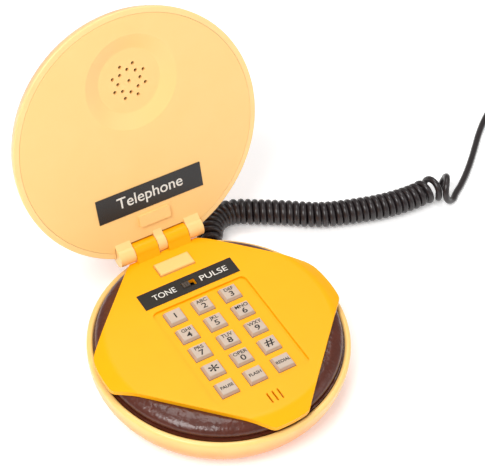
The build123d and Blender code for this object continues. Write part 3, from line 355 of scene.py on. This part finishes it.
steel_finish = brushed_metal("steel", tint(190, 190, 192), tint(165, 165, 168), 0.3)
can_finish = brushed_metal("aluminium_can", tint(205, 206, 208), tint(190, 191, 193), 0.35)
brass_finish = brushed_metal("contact_brass", tint(222, 186, 96), tint(200, 164, 78), 0.25)
finishes_by_node = {
    "lid_label": label_finish, "strip_label": strip_finish, "rubber_feet": rubber_finish,
    "strain_relief": rubber_finish, "coil_tie": rubber_finish, "microphone_boot": rubber_finish,
    "board_components": dark_finish, "hook_switch": dark_finish, "tone_switch": dark_finish,
    "receiver": felt_finish, "ringer": dark_finish, "tone_slider": slider_finish,
    "keypad_membrane": membrane_finish, "main_board": board_finish, "line_plug": plug_finish,
    "plug_contacts": brass_finish, "microphone": can_finish, "ballast_plate": steel_finish,
    "base_screws": steel_finish, "board_screws": steel_finish, "cheese_screws": steel_finish,
    "hinge_pin": steel_finish, "receiver_strap": steel_finish, "receiver_screws": steel_finish,
}
for node_name, finish in finishes_by_node.items():
    paint(node_name, finish)
print("small parts painted:", len(finishes_by_node))


# %% [markdown]
# ## Cord route
# The cord is one wire. It leaves the rubber bush at the back, winds tightly along a lazy line on the
# table, relaxes over its last turns, and runs straight to where the spare length is coiled. The line
# that the curls follow is a smooth curve through a few chosen points. Blender turns that curve into
# points, and the curls are then worked out around them.
# %% The line that the curls follow
wire_radius = 1.8 * MM
exit_angle = math.radians(63.0)
exit_direction = Vector((math.cos(exit_angle), math.sin(exit_angle), 0))
exit_height = Vector((0, 0, 9.0)) * MM
relief_reach = 70.0 * MM
first_bend_reach = 83.0 * MM
relief_tip = exit_direction * relief_reach + exit_height
curl_route = [relief_tip, exit_direction * first_bend_reach + exit_height] + [Vector(p) * MM for p in (
    (45.5, 81.8, 7.9),
    (56.5, 83.5, 7.4),
    (69.0, 75.6, 7.4),
    (82.5, 67.6, 7.4),
    (97.0, 57.2, 7.4),
    (114.0, 51.0, 7.4),
    (132.0, 45.6, 7.4),
    (148.0, 43.6, 7.4),
    (158.5, 43.9, 7.4),
    (168.5, 43.2, 7.9),
    (172.5, 36.0, 8.7),
)]
tail_route = [Vector(p) * MM for p in (
    (176.0, 38.2, 1.85),
    (182.0, 41.6, 1.85),
    (190.0, 47.3, 1.85),
    (199.0, 54.6, 1.85),
    (208.0, 62.7, 1.85),
    (217.0, 71.0, 1.85),
    (228.5, 80.0, 1.85),
    (240.0, 86.6, 1.85),
    (253.0, 90.3, 1.9),
    (268.0, 90.8, 2.5),
)]


def nurbs_object(name, points):
    """A smooth curve object with the points as its control points."""
    curve = bpy.data.curves.new(name, "CURVE")
    curve.dimensions = "3D"
    spline = curve.splines.new("NURBS")
    spline.points.add(len(points) - 1)
    for point, place in zip(spline.points, points):
        point.co = (*place, 1)
    spline.order_u = 3
    spline.use_endpoint_u = True
    piece = bpy.data.objects.new(name, curve)
    bpy.context.collection.objects.link(piece)
    return piece


def points_along(piece):
    """The places that Blender works out along a curve with no thickness."""
    bpy.context.view_layer.update()
    mesh = bpy.data.meshes.new_from_object(piece)
    places = [v.co.copy() for v in mesh.vertices]
    bpy.data.meshes.remove(mesh)
    return places


guide = nurbs_object("curl_guide", curl_route)
guide.data.splines[0].resolution_u = 24
line = points_along(guide)
bpy.data.objects.remove(guide)
line_length = sum((b - a).length for a, b in zip(line, line[1:]))
print("curl line:", len(line), "points,", round(line_length, 4), "m")

# %% [markdown]
# ## Curls
# A curl is a point that goes round the line while it moves along it. The direction across the line
# is carried forward from point to point, turned only as much as the line bends, so the curls don't
# twist at the corners. They grow from nothing at the bush and lie tightly side by side. The last few
# have been pulled open, so their pitch and their radius grow, and they end at the bottom of a turn.
# %% Wind the curls
curl_pitch = 3.68 * MM
curl_mean_radius = 5.4 * MM
last_curl_growth = 1.4 * MM
growing_turns = 2.5
loose_turns = 3.5
loose_length = 22.0 * MM
points_per_turn = 16


def place_at(distance):
    """The place and direction at a distance along the line."""
    walked = 0.0
    for a, b in zip(line, line[1:]):
        step = (b - a).length
        if walked + step >= distance and step > 0:
            return a.lerp(b, (distance - walked) / step), (b - a).normalized()
        walked += step
    return line[-1].copy(), (line[-1] - line[-2]).normalized()


tight_turns = int((line_length - loose_length) / curl_pitch)
opening = (line_length - (tight_turns + loose_turns) * curl_pitch) / loose_turns**2
curls = []
across = Vector((0, 0, 1))
for step in range(int((tight_turns + loose_turns) * points_per_turn) + 1):
    turn = step / points_per_turn
    loose = max(0.0, turn - tight_turns)
    centre, ahead = place_at(turn * curl_pitch + opening * loose**2)
    across = (across - ahead * across.dot(ahead)).normalized()
    side = ahead.cross(across)
    radius = curl_mean_radius * min(1.0, turn / growing_turns) + last_curl_growth * (loose / loose_turns) ** 2
    angle = 2 * math.pi * turn
    curls.append(centre + (across * math.cos(angle) + side * math.sin(angle)) * radius)
print("curls:", tight_turns, "tight turns and", loose_turns, "loose ones")

# %% [markdown]
# ## Spare length
# The unseen length is put away in a neat round coil, two turns abreast and two high.
# %% Wind the coil
coil_centre = Vector((284.0, 69.0, 0)) * MM
coil_lanes = [(21.8 * MM, 2.5 * MM), (18.2 * MM, 2.5 * MM), (18.2 * MM, 6.1 * MM), (21.8 * MM, 6.1 * MM)]
coil = []
coil_points_per_turn = 24
for lane, (lane_radius, lane_height) in enumerate(coil_lanes):
    next_radius, next_height = coil_lanes[min(lane + 1, len(coil_lanes) - 1)]
    for step in range(coil_points_per_turn):
        share = step / coil_points_per_turn
        change = max(0.0, (share - 0.8) / 0.2)
        change = change * change * (3 - 2 * change)
        angle = math.pi / 2 - 2 * math.pi * share
        radius = lane_radius + (next_radius - lane_radius) * change
        height = lane_height + (next_height - lane_height) * change
        coil.append(coil_centre + Vector((radius * math.cos(angle), radius * math.sin(angle), height)))
coil_end = coil_centre + Vector((0, coil_lanes[-1][0], coil_lanes[-1][1]))
straight_run = Vector((12.5, 0, 0)) * MM
depth_in_plug = Vector((3.0, 0, 0)) * MM
plug_half_height = 3.3 * MM
plug_sidestep = 0.6 * MM
plug_mouth = Vector((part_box("line_plug")[0][0], coil_end.y + plug_sidestep, plug_half_height))
last_stretch = [
    coil_end,
    coil_end + straight_run,
    plug_mouth - straight_run,
    plug_mouth + depth_in_plug,
]
print("coil:", len(coil_lanes), "turns")

# %% [markdown]
# ## The cord itself
# Curls, tail, coil and the last stretch to the plug are joined into one open curve with a round bevel.
# %% Make the cord
cord_points = curls + tail_route + coil + last_stretch
cord = nurbs_object("telephone_cord", cord_points)
cord.data.bevel_depth = wire_radius
cord.data.bevel_resolution = 3
cord.data.splines[0].resolution_u = 3
cord.data.use_fill_caps = True
cord_finish = moulded_plastic("cord_black", tint(42, 35, 36), tint(33, 27, 28), 0.3, 0.000004)
cord.data.materials.append(cord_finish)
bare = points_along(nurbs_object("measure", cord_points))
bpy.data.objects.remove(bpy.data.objects["measure"])
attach(cord, "base")
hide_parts("curly_cord", "cord_tail", "cord_coil", "cord_end")

# %% [markdown]
# ## Printing
# The key legends are printed on the caps. A text object gives the shape, it becomes a mesh, and it is
# laid on top of its key, a hair above the plastic.
# %% Key legends
ink_finish = moulded_plastic("legend_ink", tint(22, 18, 18), tint(16, 13, 13), 0.6, 0.000002)
white_ink_finish = moulded_plastic("white_ink", tint(222, 220, 214), tint(212, 210, 204), 0.5, 0.000002)


def printed_text(name, words, size, place, finish, body, width_scale=1.0, weight=0.0):
    """Flat lettering on a plane: the matrix gives its middle, its reading direction and its upward one."""
    text = bpy.data.curves.new(name, "FONT")
    text.body = words
    text.size = size
    text.offset = weight
    text.extrude = 0.02 * MM
    writing = bpy.data.objects.new(name + "_text", text)
    bpy.context.collection.objects.link(writing)
    bpy.context.view_layer.update()
    mesh = bpy.data.meshes.new_from_object(writing)
    bpy.data.objects.remove(writing)
    xs = [v.co.x for v in mesh.vertices]
    ys = [v.co.y for v in mesh.vertices]
    mesh.transform(Matrix.Translation((-(min(xs) + max(xs)) / 2, -(min(ys) + max(ys)) / 2, 0)))
    mesh.transform(Matrix.Diagonal((width_scale, 1, 1, 1)))
    mesh.transform(place)
    mesh.materials.clear()
    mesh.materials.append(finish)
    piece = bpy.data.objects.new(name, mesh)
    bpy.context.collection.objects.link(piece)
    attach(piece, body)


legends = {
    "key_1": ("", "1"), "key_2": ("ABC", "2"), "key_3": ("DEF", "3"),
    "key_4": ("GHI", "4"), "key_5": ("JKL", "5"), "key_6": ("MNO", "6"),
    "key_7": ("PRS", "7"), "key_8": ("TUV", "8"), "key_9": ("WXY", "9"),
    "key_star": ("", "*"), "key_0": ("OPER", "0"), "key_hash": ("", "#"),
    "key_pause": ("PAUSE", ""), "key_flash": ("FLASH", ""), "key_redial": ("REDIAL", ""),
}
ink_lift = Vector((0, 0, 0.03)) * MM
letters_up = Vector((0, 1.8, 0)) * MM
digit_down = Vector((0, 1.4, 0)) * MM
digit_size = 4.4 * MM
digit_sizes = {"*": 9.5 * MM, "#": 6.2 * MM}
digit_weight = 0.06 * MM
for key_name, (letters, digit) in legends.items():
    low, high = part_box(key_name)
    middle = Vector(((low[0] + high[0]) / 2, (low[1] + high[1]) / 2, high[2])) + ink_lift
    centred = Matrix.Translation(middle)
    if digit and letters:
        upper = Matrix.Translation(middle + letters_up)
        lower = Matrix.Translation(middle - digit_down)
        printed_text(key_name + "_letters", letters, 2.8 * MM, upper, ink_finish, key_name, 1.1, 0.04 * MM)
        printed_text(key_name + "_digit", digit, digit_size, lower, ink_finish, key_name, 1.3, digit_weight)
    elif digit:
        size = digit_sizes.get(digit, digit_size)
        printed_text(key_name + "_digit", digit, size, centred, ink_finish, key_name, 1.3, digit_weight)
    else:
        printed_text(key_name + "_letters", letters, 2.4 * MM, centred, ink_finish, key_name, 1.0, 0.05 * MM)
print("legends on", len(legends), "keys")

# %% Lettering on the strip and on the lid
strip_low, strip_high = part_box("strip_label")
strip_middle = (Vector(strip_low) + Vector(strip_high)) / 2
strip_top = Vector((strip_middle.x, strip_middle.y, strip_high[2])) + ink_lift
for word, offset, width_scale in (("TONE", -13.8 * MM, 1.0), ("PULSE", 14.3 * MM, 1.25)):
    on_strip = Matrix.Translation(strip_top + Vector((offset, 0, 0)))
    printed_text("strip_" + word.lower(), word, 4.8 * MM, on_strip, white_ink_finish, "base", width_scale)

label_low, label_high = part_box("lid_label")
label_lift = 0.24 * MM
label_middle = (Vector(label_low) + Vector(label_high)) / 2
label_axes = Matrix((Vector((1, 0, 0)), lid_away, lid_inward)).transposed().to_4x4()
on_label = Matrix.Translation(label_middle + lid_inward * label_lift) @ label_axes
printed_text("lid_label_word", "Telephone", 8.6 * MM, on_label, white_ink_finish, "lid", 1.0, 0.05 * MM)
print("strip and lid lettered")

# %% [markdown]
# ## Seeds
# Sesame seeds lie scattered over the crown of the top bun. Each is a small drop with few faces.
# %% Scatter the seeds
random.seed(7)
seed_mesh = bpy.data.meshes.new("sesame_seeds")
seed_build = bmesh.new()
# The dome's crown is a sphere whose radius follows from the rim, the side's radius and the height.
crown_height = 41.5 * MM
side_radius = 14.3 * MM
side_centre = 65.73 * MM - side_radius
crown_radius = (side_centre**2 + crown_height**2 - side_radius**2) / (2 * (crown_height - side_radius))
lid_middle = hinge_place + lid_away * hinge_place.y
crown_middle = lid_middle + lid_outward * (crown_height - crown_radius)
seed_count = 70
seed_spread = math.radians(38)
seed_spacing = 6.2 * MM
seed_half_sizes = Vector((1.7, 1.05, 0.5)) * MM
seed_lift = 0.15 * MM
seed_places = []
while len(seed_places) < seed_count:
    polar = seed_spread * math.sqrt(random.random())
    around = random.uniform(0, 2 * math.pi)
    direction = (
        lid_outward * math.cos(polar)
        + Vector((1, 0, 0)) * math.sin(polar) * math.cos(around)
        + lid_away * math.sin(polar) * math.sin(around)
    )
    place = crown_middle + direction * crown_radius
    if all((place - other).length > seed_spacing for other, _ in seed_places):
        seed_places.append((place, direction))
for place, direction in seed_places:
    made = bmesh.ops.create_uvsphere(seed_build, u_segments=10, v_segments=6, radius=1.0)
    spin = Matrix.Rotation(random.uniform(0, 2 * math.pi), 4, "Z")
    for vertex in made["verts"]:
        narrowing = 1.0 - 0.35 * vertex.co.x
        long, wide, thick = vertex.co * seed_half_sizes
        vertex.co = Vector((long, wide * narrowing, thick))
        vertex.co = spin @ vertex.co
        vertex.co = direction.to_track_quat("Z", "Y") @ vertex.co + place + direction * seed_lift
bmesh.ops.recalc_face_normals(seed_build, faces=seed_build.faces)
seed_build.to_mesh(seed_mesh)
seed_build.free()
for polygon in seed_mesh.polygons:
    polygon.use_smooth = True
seeds = bpy.data.objects.new("sesame_seeds", seed_mesh)
bpy.context.collection.objects.link(seeds)
seed_finish = moulded_plastic("seed_cream", tint(248, 232, 190), tint(238, 214, 160), 0.45)
seeds.data.materials.append(seed_finish)
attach(seeds, "lid")
print("seeds:", len(seed_places))
